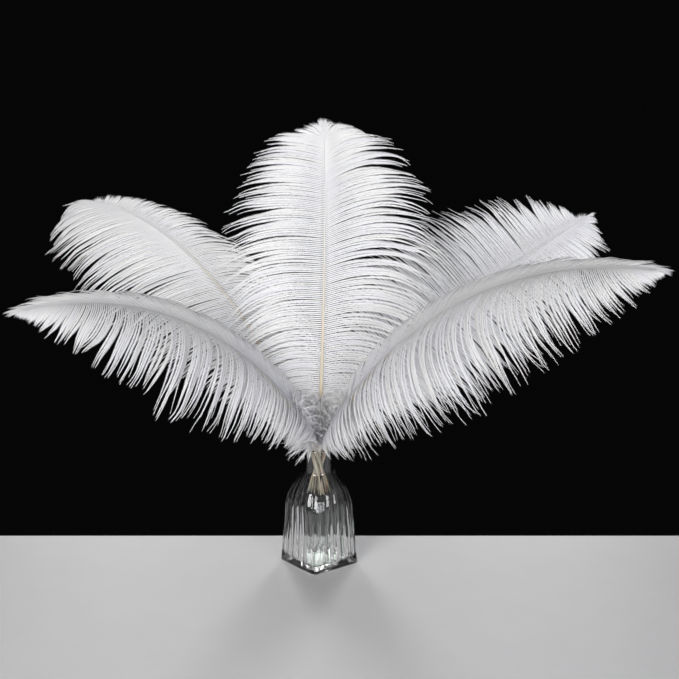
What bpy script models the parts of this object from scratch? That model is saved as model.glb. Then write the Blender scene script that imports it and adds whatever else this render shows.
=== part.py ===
"""Five white ostrich plumes standing in a small fluted glass vase.

Units are metres, +Z is up. The origin is the middle of the vase's underside, +X runs along the
spread of the plumes and -Y is the side they are seen from. Each plume is one closed solid: a round
quill that thins into the shaft, with a thin curved vane on both sides. The vase is one closed solid
with a square foot, flutes up its sides and a round neck.
"""

import math
from dataclasses import dataclass

import bpy
import numpy as np

MM = 0.001

# Vase: heights from the underside, reaches from the axis to the corner of the section
VASE_TURN = math.radians(38)      # the square foot stands with a corner towards the viewer
FOOT_REACH = 33.9 * MM            # half the diagonal of the square foot
BODY_REACH = 29.6 * MM            # at the top of the tapering body
NECK_RADIUS = 13.1 * MM
BODY_TOP = 50 * MM
NECK_BOTTOM = 84 * MM
RIM_HEIGHT = 105 * MM
SHOULDER_FULLNESS = 1.8
ROUNDING_POWER = 2.2              # how late the square section turns round on its way up
FOOT_SQUARENESS = 0.05            # 1 over the power of the superellipse, 0.5 is a circle
ROUND = 0.5
INNER_ROUNDING = 0.08             # the cavity's corners are rounder than the outside
FLUTES_PER_SIDE = 6
POINTS_PER_FLUTE = 3
FLUTE_DEPTH = 1.1 * MM
FLUTE_START = 5 * MM
FLUTE_RUN_IN = 2.5 * MM           # over which a flute reaches its depth
FLUTE_DEPTH_AT_NECK = 0.25        # share of its depth that is left where the neck begins
WALL = 2.6 * MM
NECK_WALL = 2.1 * MM
FLOOR_HEIGHT = 6 * MM
FLOOR_FILLET = 3 * MM
RIM_ROUNDING = 0.8 * MM
BODY_RINGS = 5
SHOULDER_RINGS = 6

# Quills: they cross in the neck, each passing the axis at its own side
CROSSING_HEIGHT = 88 * MM
CROSSING_OFFSET = 4.0 * MM
QUILL_LENGTH = 64 * MM            # from its cut end to the first barb
QUILL_END_LEAN = 15               # degrees from upright at the cut end
QUILL_END_RADIUS = 1.1 * MM
SHAFT_RADIUS = 1.9 * MM           # at the first barb
SHAFT_TIP_RADIUS = 0.5 * MM
CROSSING_SHARE = 0.4              # of the quill lies below the crossing
QUILL_STEPS = 40
SHAFT_STEPS = 160

# Vanes: the sheet that stands for the barbs
VANE_RINGS = 24
BARB_POINTS = 4                   # on each side of the shaft
BARB_STEPS = 24
VANE_ROOT_DISTANCE = 2.5 * MM     # where the sheet leaves the shaft
VANE_THICKNESS = (1.2 * MM, 0.8 * MM)
QUILL_RINGS = (0, 0.1, 0.4, 0.7, 0.9)


@dataclass
class Vane:
    """One side of a plume. Triples are values at the root, the middle and the tip."""
    length: tuple       # barb length in mm at the root, at the longest and at the tip
    longest_at: float   # where along the vane the barbs are longest
    fall: float         # how late the barbs shorten towards the tip
    blunt: float        # how round the tip is, smaller is blunter
    angle: tuple        # degrees between a barb and the shaft where it leaves it
    rise: tuple         # degrees that it starts off towards the face of the plume
    droop: tuple        # how far it bends down under its own weight
    sweep: tuple = (0, 0, 0)   # how far its end swings towards the plume's tip
    droop_power: float = 1.5
    sweep_power: float = 1.2


@dataclass
class Plume:
    name: str
    heading: tuple      # degrees around the axis at the root and at the tip, 0 is +X
    lean: tuple         # degrees from upright at the root, the middle and the tip
    vane_length: float  # mm along the shaft
    facing: tuple       # the side that the face of the plume looks to
    left: Vane
    right: Vane
    barbs_from: float = 0.0    # where on the shaft the first barb stands, below 0 on the quill
    crossing_offset: float = CROSSING_OFFSET
    quill_end_lean: float = QUILL_END_LEAN


FAR_SIDE = dict(length=(6, 50, 14), longest_at=0.5, fall=2.0, blunt=0.6, angle=(38, 48, 20),
                rise=(20, 15, 0), droop=(0.5, 1.05, 0.25))
NEAR_SIDE = dict(blunt=1.0, angle=(60, 125, 20), rise=(40, 20, 0), droop=(1.4, 7.0, 1.6),
                 droop_power=1.5)

PLUMES = [
    Plume("feather_centre", (68, 96), (5, 8, 8), 247, (0, -1, 0.15),
          left=Vane((16, 102, 8), 0.38, 2.6, 0.49, (78, 86, 70), (3, 2, 0), (0.6, 1.15, 0.5),
                    droop_power=1.6),
          right=Vane((12, 116, 9), 0.38, 2.6, 0.66, (78, 70, 50), (0, 1, 0), (0.8, 1.2, 1.0),
                     droop_power=1.4),
          crossing_offset=0, quill_end_lean=4),
    Plume("feather_back_left", (146, 152), (30, 48, 82), 292, (0.1, -1, 0.35),
          left=Vane((20, 108, 43), 0.58, 2.4, 0.5, (60, 62, 14), (0, 0, 0), (1.0, 0.9, 0.9)),
          right=Vane((8, 72, 6), 0.42, 2.0, 1.4, (80, 112, 95), (-10, -5, 0), (0.9, 1.2, 0.4))),
    Plume("feather_back_right", (31, 23), (38, 62, 60), 307, (-0.1, -1, 0.35),
          left=Vane((8, 99, 4), 0.42, 2.6, 0.85, (75, 88, 85), (-10, -5, 0), (0.6, 0.7, 0.2)),
          right=Vane((20, 86, 18), 0.4, 2.4, 0.6, (70, 80, 57), (0, 0, 0), (0.5, 0.3, 0.5))),
    Plume("feather_front_left", (215, 210), (31, 60, 98), 296, (0.3, -0.35, 1),
          left=Vane((16, 98, 6), longest_at=0.6, fall=1.1, sweep=(3.4, 5.0, 2.4), sweep_power=1.5,
                    **NEAR_SIDE),
          right=Vane(**FAR_SIDE),
          barbs_from=-0.03),
    Plume("feather_front_right", (-30, -31), (28, 59, 92), 338, (-0.3, -0.35, 1),
          left=Vane(**FAR_SIDE),
          right=Vane((20, 116, 6), longest_at=0.58, fall=1.35, sweep=(2.6, 6.2, 3.0), sweep_power=2.0,
                     **NEAR_SIDE),
          barbs_from=-0.03),
]


def through(values, x):
    """The quadratic that passes through three values at x = 0, 0.5 and 1."""
    root, middle, tip = values
    return root * (1 - x) * (1 - 2 * x) + middle * 4 * x * (1 - x) + tip * x * (2 * x - 1)


def unit(vectors):
    return vectors / np.linalg.norm(vectors, axis=-1, keepdims=True)


def between(rows, positions, position):
    """The row at a position, read from rows of three numbers at rising positions."""
    return np.array([np.interp(position, positions, rows[:, axis]) for axis in range(3)])


def path(directions, step):
    """Points reached by walking along directions, step metres at a time, from the origin."""
    walked = np.zeros_like(directions)
    walked[1:] = np.cumsum((directions[1:] + directions[:-1]) / 2 * step, axis=0)
    return walked


class Shaft:
    """The plume's centre line. Position 0 is the first barb, 1 the tip, below 0 the quill."""

    def __init__(self, plume):
        self.vane_length = plume.vane_length * MM
        self.quill_end = -QUILL_LENGTH / self.vane_length
        self.positions = np.concatenate([np.linspace(self.quill_end, 0, QUILL_STEPS)[:-1],
                                         np.linspace(0, 1, SHAFT_STEPS)])
        along = np.clip(self.positions, 0, 1)
        up_the_quill = np.clip(1 - self.positions / self.quill_end, 0, 1)
        quill_lean = plume.quill_end_lean + (plume.lean[0] - plume.quill_end_lean) * up_the_quill ** 2
        lean = np.radians(np.where(self.positions < 0, quill_lean, through(plume.lean, along)))
        start, end = plume.heading
        heading = np.radians(start + (end - start) * along)
        self.tangents = np.stack([np.sin(lean) * np.cos(heading),
                                  np.sin(lean) * np.sin(heading), np.cos(lean)], axis=1)
        steps = np.diff(self.positions) * self.vane_length
        self.points = np.zeros_like(self.tangents)
        middles = (self.tangents[1:] + self.tangents[:-1]) / 2
        self.points[1:] = np.cumsum(middles * steps[:, None], axis=0)
        self.points += self.crossing_point(plume) - self.point_after(QUILL_LENGTH * CROSSING_SHARE)

    def crossing_point(self, plume):
        side = math.radians(plume.heading[0] + 90)
        offset = plume.crossing_offset
        return np.array([math.cos(side) * offset, math.sin(side) * offset, CROSSING_HEIGHT])

    def point_after(self, distance):
        return self.at(self.quill_end + distance / self.vane_length)[0]

    def at(self, position):
        """Point and tangent at a position."""
        point = between(self.points, self.positions, position)
        return point, unit(between(self.tangents, self.positions, position))

    def frame(self, position, facing):
        """Point, tangent, the direction the face looks to and the direction to the right."""
        point, tangent = self.at(position)
        facing = unit(np.array(facing, float))
        face = unit(facing - (tangent @ facing) * tangent)
        return point, tangent, face, np.cross(tangent, face)

    def radius(self, position):
        if position < 0:
            share = 1 - position / self.quill_end
            return QUILL_END_RADIUS + (SHAFT_RADIUS - QUILL_END_RADIUS) * share ** 0.5
        return SHAFT_RADIUS + (SHAFT_TIP_RADIUS - SHAFT_RADIUS) * position


def barb_length(vane, position):
    root, longest, tip = (value * MM for value in vane.length)
    if position < vane.longest_at:
        return root + (longest - root) * math.sin(position / vane.longest_at * math.pi / 2)
    past = (position - vane.longest_at) / (1 - vane.longest_at)
    return tip + (longest - tip) * (1 - past ** vane.fall) ** vane.blunt


def barb(vane, frame, side, position):
    """Points and directions along one barb, from the shaft to its tip."""
    point, tangent, face, right = frame
    angle = math.radians(through(vane.angle, position))
    rise = math.radians(through(vane.rise, position))
    outwards = math.cos(rise) * side * right + math.sin(rise) * face
    start = math.cos(angle) * tangent + math.sin(angle) * outwards
    along = np.linspace(0, 1, BARB_STEPS)[:, None]
    down = np.array([0, 0, -1.0])
    directions = unit(start + through(vane.droop, position) * along ** vane.droop_power * down
                      + through(vane.sweep, position) * along ** vane.sweep_power * tangent)
    length = barb_length(vane, position)
    return point + path(directions, length / (BARB_STEPS - 1)), directions, length


def vane_side(vane, frame, side, position):
    """The upper and lower edge of the sheet's section along one barb."""
    points, directions, length = barb(vane, frame, side, position)
    first = VANE_ROOT_DISTANCE / length
    samples = np.linspace(first, 1, BARB_POINTS) * (BARB_STEPS - 1)
    steps = np.arange(BARB_STEPS)
    upper, lower = [], []
    for share, sample in zip(np.linspace(0, 1, BARB_POINTS), samples):
        place = between(points, steps, sample)
        across = unit(side * np.cross(between(directions, steps, sample), frame[1]))
        half = (VANE_THICKNESS[0] + (VANE_THICKNESS[1] - VANE_THICKNESS[0]) * share) / 2
        upper.append(place + across * half)
        lower.append(place - across * half)
    return upper, lower


def vane_ring(plume, shaft, position):
    """The section of a plume at one barb pair: over the face from left to right, then back."""
    place = plume.barbs_from + (1 - plume.barbs_from) * position
    frame = shaft.frame(place, plume.facing)
    point, _, face, _ = frame
    left_upper, left_lower = vane_side(plume.left, frame, -1, position)
    right_upper, right_lower = vane_side(plume.right, frame, 1, position)
    ridge = face * shaft.radius(place)
    return (left_upper[::-1] + [point + ridge] + right_upper
            + right_lower[::-1] + [point - ridge] + left_lower)


def quill_ring(plume, shaft, position):
    point, _, face, right = shaft.frame(position, plume.facing)
    count = 2 * (2 * BARB_POINTS + 1)
    angles = [math.pi - (k + 0.5) * 2 * math.pi / count for k in range(count)]
    radius = shaft.radius(position)
    return [point + radius * (math.cos(a) * right + math.sin(a) * face) for a in angles]


def skin(rings):
    """Quads between neighbouring closed rings of equal length."""
    count = len(rings[0])
    faces = []
    for row in range(len(rings) - 1):
        for k in range(count):
            here, after = row * count + k, row * count + (k + 1) % count
            faces.append((here, after, after + count, here + count))
    return faces


def add_object(name, rings, faces, material):
    mesh = bpy.data.meshes.new(name)
    mesh.from_pydata([tuple(point) for ring in rings for point in ring], [], faces)
    mesh.materials.append(material)
    mesh.shade_smooth()
    mesh.set_sharp_from_angle(angle=math.radians(40))
    mesh.validate()
    built = bpy.data.objects.new(name, mesh)
    bpy.context.collection.objects.link(built)
    return built


def build_plume(plume, material):
    shaft = Shaft(plume)
    quill = plume.barbs_from - shaft.quill_end
    rings = [quill_ring(plume, shaft, shaft.quill_end + quill * share) for share in QUILL_RINGS]
    rings += [vane_ring(plume, shaft, position) for position in np.linspace(0, 1, VANE_RINGS)]
    count = len(rings[0])
    faces = skin(rings)
    faces.append(tuple(reversed(range(count))))
    last = (len(rings) - 1) * count
    for k in range(count // 2 - 1):
        opposite = count - 1 - k
        faces.append((last + k, last + k + 1, last + opposite - 1, last + opposite))
    return add_object(plume.name, rings, faces, material)


def smooth_step(value, low, high):
    share = min(max((value - low) / (high - low), 0), 1)
    return share * share * (3 - 2 * share)


def corner_reach(height):
    """Distance from the axis to the corner of the outer section."""
    if height <= BODY_TOP:
        return FOOT_REACH + (BODY_REACH - FOOT_REACH) * height / BODY_TOP
    share = min((height - BODY_TOP) / (NECK_BOTTOM - BODY_TOP), 1)
    return NECK_RADIUS + (BODY_REACH - NECK_RADIUS) * (1 - share ** SHOULDER_FULLNESS)


def roundness(height):
    return min(height / NECK_BOTTOM, 1) ** ROUNDING_POWER


def section(height, reach, flute_depth=0.0, rounder=0.0):
    """A closed ring of the vase: square at the foot, round at the neck."""
    share = roundness(height)
    inverse_power = FOOT_SQUARENESS + rounder + (ROUND - FOOT_SQUARENESS - rounder) * share
    power = 1 / inverse_power
    half_side = reach / 2 ** (0.5 - inverse_power)
    per_side = FLUTES_PER_SIDE * POINTS_PER_FLUTE
    ring = []
    for side in range(4):
        for k in range(per_side):
            fraction = k / per_side
            square_angle = math.atan(2 * fraction - 1)
            round_angle = (fraction - 0.5) * math.pi / 2
            angle = square_angle + (round_angle - square_angle) * share
            radius = half_side / (math.cos(angle) ** power + abs(math.sin(angle)) ** power) ** (1 / power)
            radius -= flute_depth * abs(math.sin(FLUTES_PER_SIDE * math.pi * fraction))
            turned = angle + side * math.pi / 2 + VASE_TURN
            ring.append((radius * math.cos(turned), radius * math.sin(turned), height))
    return ring


def flute_depth_at(height):
    if height >= NECK_BOTTOM:
        return 0.0
    start = smooth_step(height, FLUTE_START, FLUTE_START + FLUTE_RUN_IN)
    left = 1 - smooth_step(height, BODY_TOP, NECK_BOTTOM)
    return FLUTE_DEPTH * start * (FLUTE_DEPTH_AT_NECK + (1 - FLUTE_DEPTH_AT_NECK) * left)


def outer_rings():
    heights = [0, FLUTE_START, FLUTE_START + 4 * MM]
    heights += list(np.linspace(FLUTE_START + 4 * MM, BODY_TOP, BODY_RINGS)[1:])
    heights += list(np.linspace(BODY_TOP, NECK_BOTTOM, SHOULDER_RINGS + 1)[1:])
    heights.append(RIM_HEIGHT - RIM_ROUNDING)
    rings = [section(height, corner_reach(height), flute_depth_at(height)) for height in heights]
    rings.append(section(RIM_HEIGHT, NECK_RADIUS - RIM_ROUNDING))
    return rings


def inner_rings():
    """The cavity from the rim down to the floor."""
    inside_neck = NECK_RADIUS - NECK_WALL
    rings = [section(RIM_HEIGHT, inside_neck + RIM_ROUNDING / 2),
             section(RIM_HEIGHT - RIM_ROUNDING, inside_neck)]
    heights = list(np.linspace(NECK_BOTTOM, BODY_TOP, SHOULDER_RINGS))
    heights += [BODY_TOP / 2, FLOOR_HEIGHT + FLOOR_FILLET]
    for height in heights:
        reach = max(corner_reach(height) - WALL, inside_neck)
        rings.append(section(height, reach, rounder=INNER_ROUNDING))
    for height, inset in ((FLOOR_HEIGHT + FLOOR_FILLET * 0.3, 0.3), (FLOOR_HEIGHT, 1.0)):
        reach = corner_reach(height) - WALL - FLOOR_FILLET * inset
        rings.append(section(height, reach, rounder=INNER_ROUNDING))
    return rings


def build_vase(material):
    rings = outer_rings() + inner_rings()
    count = len(rings[0])
    faces = skin(rings)
    faces.append(tuple(reversed(range(count))))
    last = (len(rings) - 1) * count
    faces.append(tuple(last + k for k in range(count)))
    return add_object("vase", rings, faces, material)


def principled(name, color, roughness, alpha=1.0):
    material = bpy.data.materials.new(name)
    material.use_nodes = True
    shader = material.node_tree.nodes["Principled BSDF"]
    shader.inputs["Base Color"].default_value = (*color, 1.0)
    shader.inputs["Roughness"].default_value = roughness
    shader.inputs["Metallic"].default_value = 0.0
    shader.inputs["Alpha"].default_value = alpha
    return material


def main():
    for existing in list(bpy.data.objects):
        bpy.data.objects.remove(existing)
    build_vase(principled("clear_glass", (0.86, 0.9, 0.88), 0.03, alpha=0.35))
    for plume in PLUMES:
        white = principled(plume.name + "_white", (0.92, 0.92, 0.93), 0.75)
        build_plume(plume, white)


main()
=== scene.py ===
# %% [markdown]
# # White ostrich plumes in a fluted glass vase
# Five plumes stand fanned out in the neck of a small pressed-glass vase. A plume is a round quill that
# thins into a shaft, with hundreds of long loose barbs on both sides, and every barb carries a fringe
# of fine barbules that makes it soft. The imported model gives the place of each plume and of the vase;
# this file gives them their barbs, their flutes and their finishes.

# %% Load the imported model
import math
from dataclasses import dataclass

import bpy
import numpy as np
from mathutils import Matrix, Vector


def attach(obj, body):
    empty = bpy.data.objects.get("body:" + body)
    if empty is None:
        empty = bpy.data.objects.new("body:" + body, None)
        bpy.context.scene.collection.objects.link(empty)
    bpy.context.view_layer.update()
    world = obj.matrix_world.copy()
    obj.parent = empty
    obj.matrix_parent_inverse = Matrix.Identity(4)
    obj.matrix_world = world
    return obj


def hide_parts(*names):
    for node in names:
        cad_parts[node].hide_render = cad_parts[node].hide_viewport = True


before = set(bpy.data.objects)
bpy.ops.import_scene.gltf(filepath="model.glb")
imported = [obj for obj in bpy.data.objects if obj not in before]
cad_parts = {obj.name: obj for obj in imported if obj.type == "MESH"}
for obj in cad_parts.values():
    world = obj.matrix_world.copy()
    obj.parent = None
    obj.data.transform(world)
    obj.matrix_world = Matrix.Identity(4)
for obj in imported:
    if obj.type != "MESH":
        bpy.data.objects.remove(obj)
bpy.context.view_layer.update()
MM = 0.001
print("nodes:", sorted(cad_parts))

# %% [markdown]
# ## Camera
# The photograph looks slightly down on the vase, from far enough away that the plumes hardly change
# size with depth. The camera stands 1.2 m away at 13.5 degrees, aimed at a point above the vase, and
# its lens is worked out from the size of a pixel at that distance.

# %% Camera
VIEW_ELEVATION = math.radians(13.5)
VIEW_DISTANCE = 1.2
AIM = Vector((0.018, 0, 0.201))
PICTURE_WIDTH = 679
PIXEL_SIZE = 0.85 * MM  # at the vase's axis
SENSOR_WIDTH = 36.0


def aim_at(thing, target):
    thing.rotation_euler = (target - thing.location).to_track_quat("-Z", "Y").to_euler()


def new_object(name, data):
    made = bpy.data.objects.new(name, data)
    bpy.context.scene.collection.objects.link(made)
    return made


camera_data = bpy.data.cameras.new("camera")
camera_data.sensor_width = SENSOR_WIDTH
camera_data.lens = VIEW_DISTANCE / (PIXEL_SIZE * PICTURE_WIDTH) * SENSOR_WIDTH
camera = new_object("camera", camera_data)
camera.location = AIM + VIEW_DISTANCE * Vector((0, -math.cos(VIEW_ELEVATION), math.sin(VIEW_ELEVATION)))
aim_at(camera, AIM)
bpy.context.scene.camera = camera
print("lens in mm:", round(camera_data.lens, 1))

# %% [markdown]
# ## Node trees from Python
# Both the finishes and the barbs are node trees. Two small classes keep them readable: `Nodes` adds a
# node from its type, its settings and its inputs, and `Wire` is one of its outputs, with the usual
# operators, so that `1 - mask` adds the Math node that works it out.


# %% Wire: an output that can be added, multiplied and so on
def operator(operation, reflected=False):
    """A method for Wire that adds the Math or Vector Math node of one operation."""
    def method(self, other):
        return self.nodes.combine(operation, *((other, self) if reflected else (self, other)))
    return method


class Wire:
    def __init__(self, nodes, node, output=0):
        self.nodes, self.node = nodes, node
        shown = [socket for socket in node.outputs if socket.enabled]
        self.socket = shown[output] if isinstance(output, int) else node.outputs[output]

    def out(self, name):
        return Wire(self.nodes, self.node, name)

    __add__, __radd__ = operator("ADD"), operator("ADD", reflected=True)
    __sub__, __rsub__ = operator("SUBTRACT"), operator("SUBTRACT", reflected=True)
    __mul__, __rmul__ = operator("MULTIPLY"), operator("MULTIPLY", reflected=True)
    __truediv__, __rtruediv__ = operator("DIVIDE"), operator("DIVIDE", reflected=True)
    __pow__, __rpow__ = operator("POWER"), operator("POWER", reflected=True)

    def between(self, low, high):
        """0 below low, 1 above high and smooth from one to the other."""
        return self.nodes.add("ShaderNodeMapRange", {"interpolation_type": "SMOOTHSTEP"},
                              {"Value": self, "From Min": low, "From Max": high})


# %% Nodes: adds nodes to one tree
class Nodes:
    def __init__(self, tree):
        self.tree = tree

    def add(self, kind, settings=None, inputs=None, output=0):
        node = self.tree.nodes.new(kind)
        for name, value in (settings or {}).items():
            if name == "stops":
                set_stops(node.color_ramp.elements, value)
            else:
                setattr(node, name, value)
        shown = [socket for socket in node.inputs if socket.enabled]
        names = [socket.name for socket in shown]
        for key, value in (inputs or {}).items():
            self.plug(value, shown[key if isinstance(key, int) else names.index(key)])
        return Wire(self, node, output)

    def plug(self, value, socket):
        if isinstance(value, Wire):
            self.tree.links.new(value.socket, socket)
        else:
            socket.default_value = value

    def combine(self, operation, first, second):
        vectors = [is_vector(first), is_vector(second)]
        if not any(vectors):
            return self.add("ShaderNodeMath", {"operation": operation}, {0: first, 1: second})
        if operation == "MULTIPLY" and not all(vectors):
            vector, scale = (first, second) if vectors[0] else (second, first)
            return self.add("ShaderNodeVectorMath", {"operation": "SCALE"}, {0: vector, "Scale": scale})
        return self.add("ShaderNodeVectorMath", {"operation": operation}, {0: first, 1: second})

    def xyz(self, x, y, z=0.0):
        return self.add("ShaderNodeCombineXYZ", {}, {0: x, 1: y, 2: z})

    def here(self):
        """The object's own coordinates, or in a geometry tree the place of a point."""
        if self.tree.type == "SHADER":
            return self.add("ShaderNodeTexCoord", output="Object")
        return self.add("GeometryNodeInputPosition")

    def random(self, low, high, seed):
        return self.add("FunctionNodeRandomValue", {}, {"Min": low, "Max": high, "Seed": seed})

    def move(self, geometry, **where):
        """Moves points to a Position, or by an Offset."""
        return self.add("GeometryNodeSetPosition", {}, {"Geometry": geometry, **where})

    def read(self, name, kind="FLOAT"):
        """A named attribute of the mesh, in a material's tree or in a geometry tree."""
        if self.tree.type == "SHADER":
            return self.add("ShaderNodeAttribute", {"attribute_name": name}, output="Fac")
        return self.add("GeometryNodeInputNamedAttribute", {"data_type": kind}, {"Name": name})

    def store(self, geometry, name, value, kind="FLOAT", domain="POINT"):
        return self.add("GeometryNodeStoreNamedAttribute", {"data_type": kind, "domain": domain},
                        {"Geometry": geometry, "Name": name, "Value": value})

    def vector(self, operation, *inputs):
        return self.add("ShaderNodeVectorMath", {"operation": operation}, dict(enumerate(inputs)))

    def mix(self, factor, first, second):
        """The first colour where the factor is 0, the second where it is 1."""
        first, second = ((*color, 1.0) if isinstance(color, tuple) else color for color in (first, second))
        return self.add("ShaderNodeMix", {"data_type": "RGBA"}, {"Factor": factor, "A": first, "B": second})

    def noise(self, place, size, detail=2.0, output="Fac"):
        """Noise from 0 to 1 whose patches are about size metres wide."""
        return self.add("ShaderNodeTexNoise", {}, {"Vector": place, "Scale": 1 / size, "Detail": detail},
                        output)


def is_vector(value):
    if isinstance(value, Wire):
        return value.socket.type in ("VECTOR", "RGBA")
    return isinstance(value, tuple)


def set_stops(elements, stops):
    """Puts (position, colour) pairs on a colour ramp."""
    for _ in range(len(stops) - len(elements)):
        elements.new(1.0)
    for element, (position, color) in zip(elements, stops):
        element.position = position
        element.color = (*color, 1.0)


# %% [markdown]
# ## Finishes
# Bleached ostrich barbs are matt and silky, and thin enough that light comes through them, so their
# shader is a soft white surface mixed with a translucent one. The tone changes a little from barb to
# barb and in slow clouds over the plume. Shade is painted on them too: lilac grey near the root of the
# front plumes and a little over all of the back-right one, and darker barbule tips and ribbon edges
# that draw the shaded lines between barbs. The shaft is cream horn, tan where it is thick and white
# towards the tip. The glass is clear, with a faint green where it is thick and the slow waves that
# pressing leaves in it.


# %% A material and its nodes
def new_material(name):
    material = bpy.data.materials.new(name)
    material.use_nodes = True
    material.node_tree.nodes.clear()
    return material, Nodes(material.node_tree)


def finish_material(nodes, surface, volume=None):
    output = nodes.tree.nodes.new("ShaderNodeOutputMaterial")
    nodes.plug(surface, output.inputs["Surface"])
    if volume is not None:
        nodes.plug(volume, output.inputs["Volume"])


# %% Barbs: silky white with a little light coming through, and painted shade
BARB_WARM = (0.93, 0.922, 0.895)
BARB_COOL = (0.88, 0.88, 0.905)
# painted shade: the lilac grey that the barbs show where they face away from the light
BARB_PAINTED_SHADE = (0.77, 0.77, 0.83)
BARB_FRINGE_SHADE = (0.5, 0.5, 0.54)  # painted shade at the barbules' tips and the ribbons' edges, for the shaded lines between barbs
BARB_GLOW = (0.93, 0.93, 0.94, 1.0)
BARB_CLOUD = 35 * MM
CLOUD_SHARE = 0.6  # of the tone comes from the clouds, the rest is each barb's own
COOL_TONES = (0.3, 0.75)
# where the painted shade fades out along a barb, away from the shaft
PAINTED_SHADE_FADES = (0.2, 0.8)  # along the barb
FRINGE_SHADE_RANGE = (0.1, 1.0)  # along the barbule
FRINGE_SHADE_SHARE = 0.8
BARB_TRANSLUCENCE = 0.25


def barb_finish():
    material, nodes = new_material("plume_barbs")
    cloud = nodes.noise(nodes.here(), BARB_CLOUD)
    cool = (cloud * CLOUD_SHARE + nodes.read("tone") * (1 - CLOUD_SHARE)).between(*COOL_TONES)
    # painted shade: lilac grey near the shaft on the barbs that the seeds mark with shade
    painted_shade = nodes.read("shade") * (1 - nodes.read("along").between(*PAINTED_SHADE_FADES))
    # painted shade: darker towards the barbules' tips and the ribbons' edges, where shade falls between barbs
    fringe = nodes.read("edge").between(*FRINGE_SHADE_RANGE) * FRINGE_SHADE_SHARE
    color = nodes.mix(painted_shade, nodes.mix(cool, BARB_WARM, BARB_COOL), BARB_PAINTED_SHADE)
    color = nodes.mix(fringe, color, BARB_FRINGE_SHADE)
    skin = nodes.add("ShaderNodeBsdfPrincipled", {},
                     {"Base Color": color, "Roughness": 0.5 + cloud * 0.2, "Specular IOR Level": 0.35,
                      "Sheen Weight": 0.25, "Sheen Roughness": 0.4})
    glow = nodes.add("ShaderNodeBsdfTranslucent", {}, {"Color": BARB_GLOW})
    finish_material(nodes, nodes.add("ShaderNodeMixShader", {}, {0: BARB_TRANSLUCENCE, 1: skin, 2: glow}))
    return material


# %% Shaft: horn, from tan at the root to white at the tip
SHAFT_COLORS = [(0.0, (0.36, 0.32, 0.24)), (0.15, (0.45, 0.39, 0.29)), (0.25, (0.54, 0.45, 0.33)),
                (0.6, (0.58, 0.54, 0.47)), (0.8, (0.62, 0.62, 0.62))]
SHAFT_STREAK = 1.2 * MM
STREAK_SHIFT = 0.1  # how far a streak moves the colour along the shaft


def shaft_finish():
    material, nodes = new_material("plume_shaft")
    streaks = nodes.noise(nodes.here(), SHAFT_STREAK, detail=3.0)
    mottled = nodes.read("place") + (streaks - 0.5) * STREAK_SHIFT
    color = nodes.add("ShaderNodeValToRGB", {"stops": SHAFT_COLORS}, {"Fac": mottled})
    finish_material(nodes, nodes.add("ShaderNodeBsdfPrincipled", {},
                                     {"Base Color": color, "Roughness": 0.32 + streaks * 0.2,
                                      "Subsurface Weight": 0.1, "Coat Weight": 0.15}))
    return material


# %% Glass: clear, wavy from the mould, faintly green where it is thick
GLASS_WAVE = 9 * MM
GLASS_RELIEF = 0.4 * MM
FOOT_DIMPLE = 2.5 * MM  # small dimples make the heavy foot sparkle
FOOT_DIMPLES_UP_TO = (6 * MM, 11 * MM)
FOOT_DIMPLE_STRENGTH = 1.5  # against the waves
GLASS_SMEARS = (0.45, 0.8)
GLASS_ROUGHEST = 0.04
GLASS_GREEN = (0.85, 0.91, 0.87, 1.0)
GLASS_DENSITY = 2.0


def glass_finish():
    material, nodes = new_material("pressed_glass")
    place = nodes.here()
    waves = nodes.noise(place, GLASS_WAVE, detail=1.0)
    height = nodes.add("ShaderNodeSeparateXYZ", {}, {"Vector": place}, output="Z")
    hammered = nodes.noise(place, FOOT_DIMPLE, detail=1.0) * (1 - height.between(*FOOT_DIMPLES_UP_TO))
    bump = nodes.add("ShaderNodeBump", {}, {"Strength": 0.25, "Distance": GLASS_RELIEF,
                                            "Height": waves + hammered * FOOT_DIMPLE_STRENGTH})
    smears = nodes.noise(place, GLASS_WAVE / 3).between(*GLASS_SMEARS)
    surface = nodes.add("ShaderNodeBsdfPrincipled", {},
                        {"Base Color": (1.0, 1.0, 1.0, 1.0), "Roughness": smears * GLASS_ROUGHEST,
                         "IOR": 1.51, "Transmission Weight": 1.0, "Normal": bump})
    volume = nodes.add("ShaderNodeVolumeAbsorption", {}, {"Color": GLASS_GREEN, "Density": GLASS_DENSITY})
    finish_material(nodes, surface, volume)
    return material


BARBS = barb_finish()
SHAFT = shaft_finish()
GLASS = glass_finish()
print("finishes:", [material.name for material in (BARBS, SHAFT, GLASS)])

# %% [markdown]
# ## How a plume is described
# All five plumes follow one rule. The shaft leaves the vase's neck, leans over along a smooth curve and
# points somewhere. On each side of it the barbs have a length, an angle to the shaft, a droop under
# their own weight and a sweep towards the tip. Three numbers for each of these, at the root, the middle
# and the tip, are enough, and a parabola joins them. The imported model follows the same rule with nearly
# the same numbers; only its barbs next to the vase are shorter.

# %% The sizes of the quills
CROSSING_HEIGHT = 88 * MM  # where the quills pass each other in the neck
CROSSING_OFFSET = 4.0 * MM
CROSSING_SHARE = 0.4  # of the quill lies below the crossing
QUILL_LENGTH = 64 * MM  # from its cut end to the first barb
QUILL_END_LEAN = 15  # degrees from upright at the cut end
QUILL_END_RADIUS = 1.1 * MM
SHAFT_RADIUS = 1.9 * MM  # at the first barb
SHAFT_TIP_RADIUS = 0.22 * MM
SHAFT_TAPER = 1.3
print("quill in mm:", round(QUILL_LENGTH / MM), "long,", round(2 * SHAFT_RADIUS / MM, 1), "thick")


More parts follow.
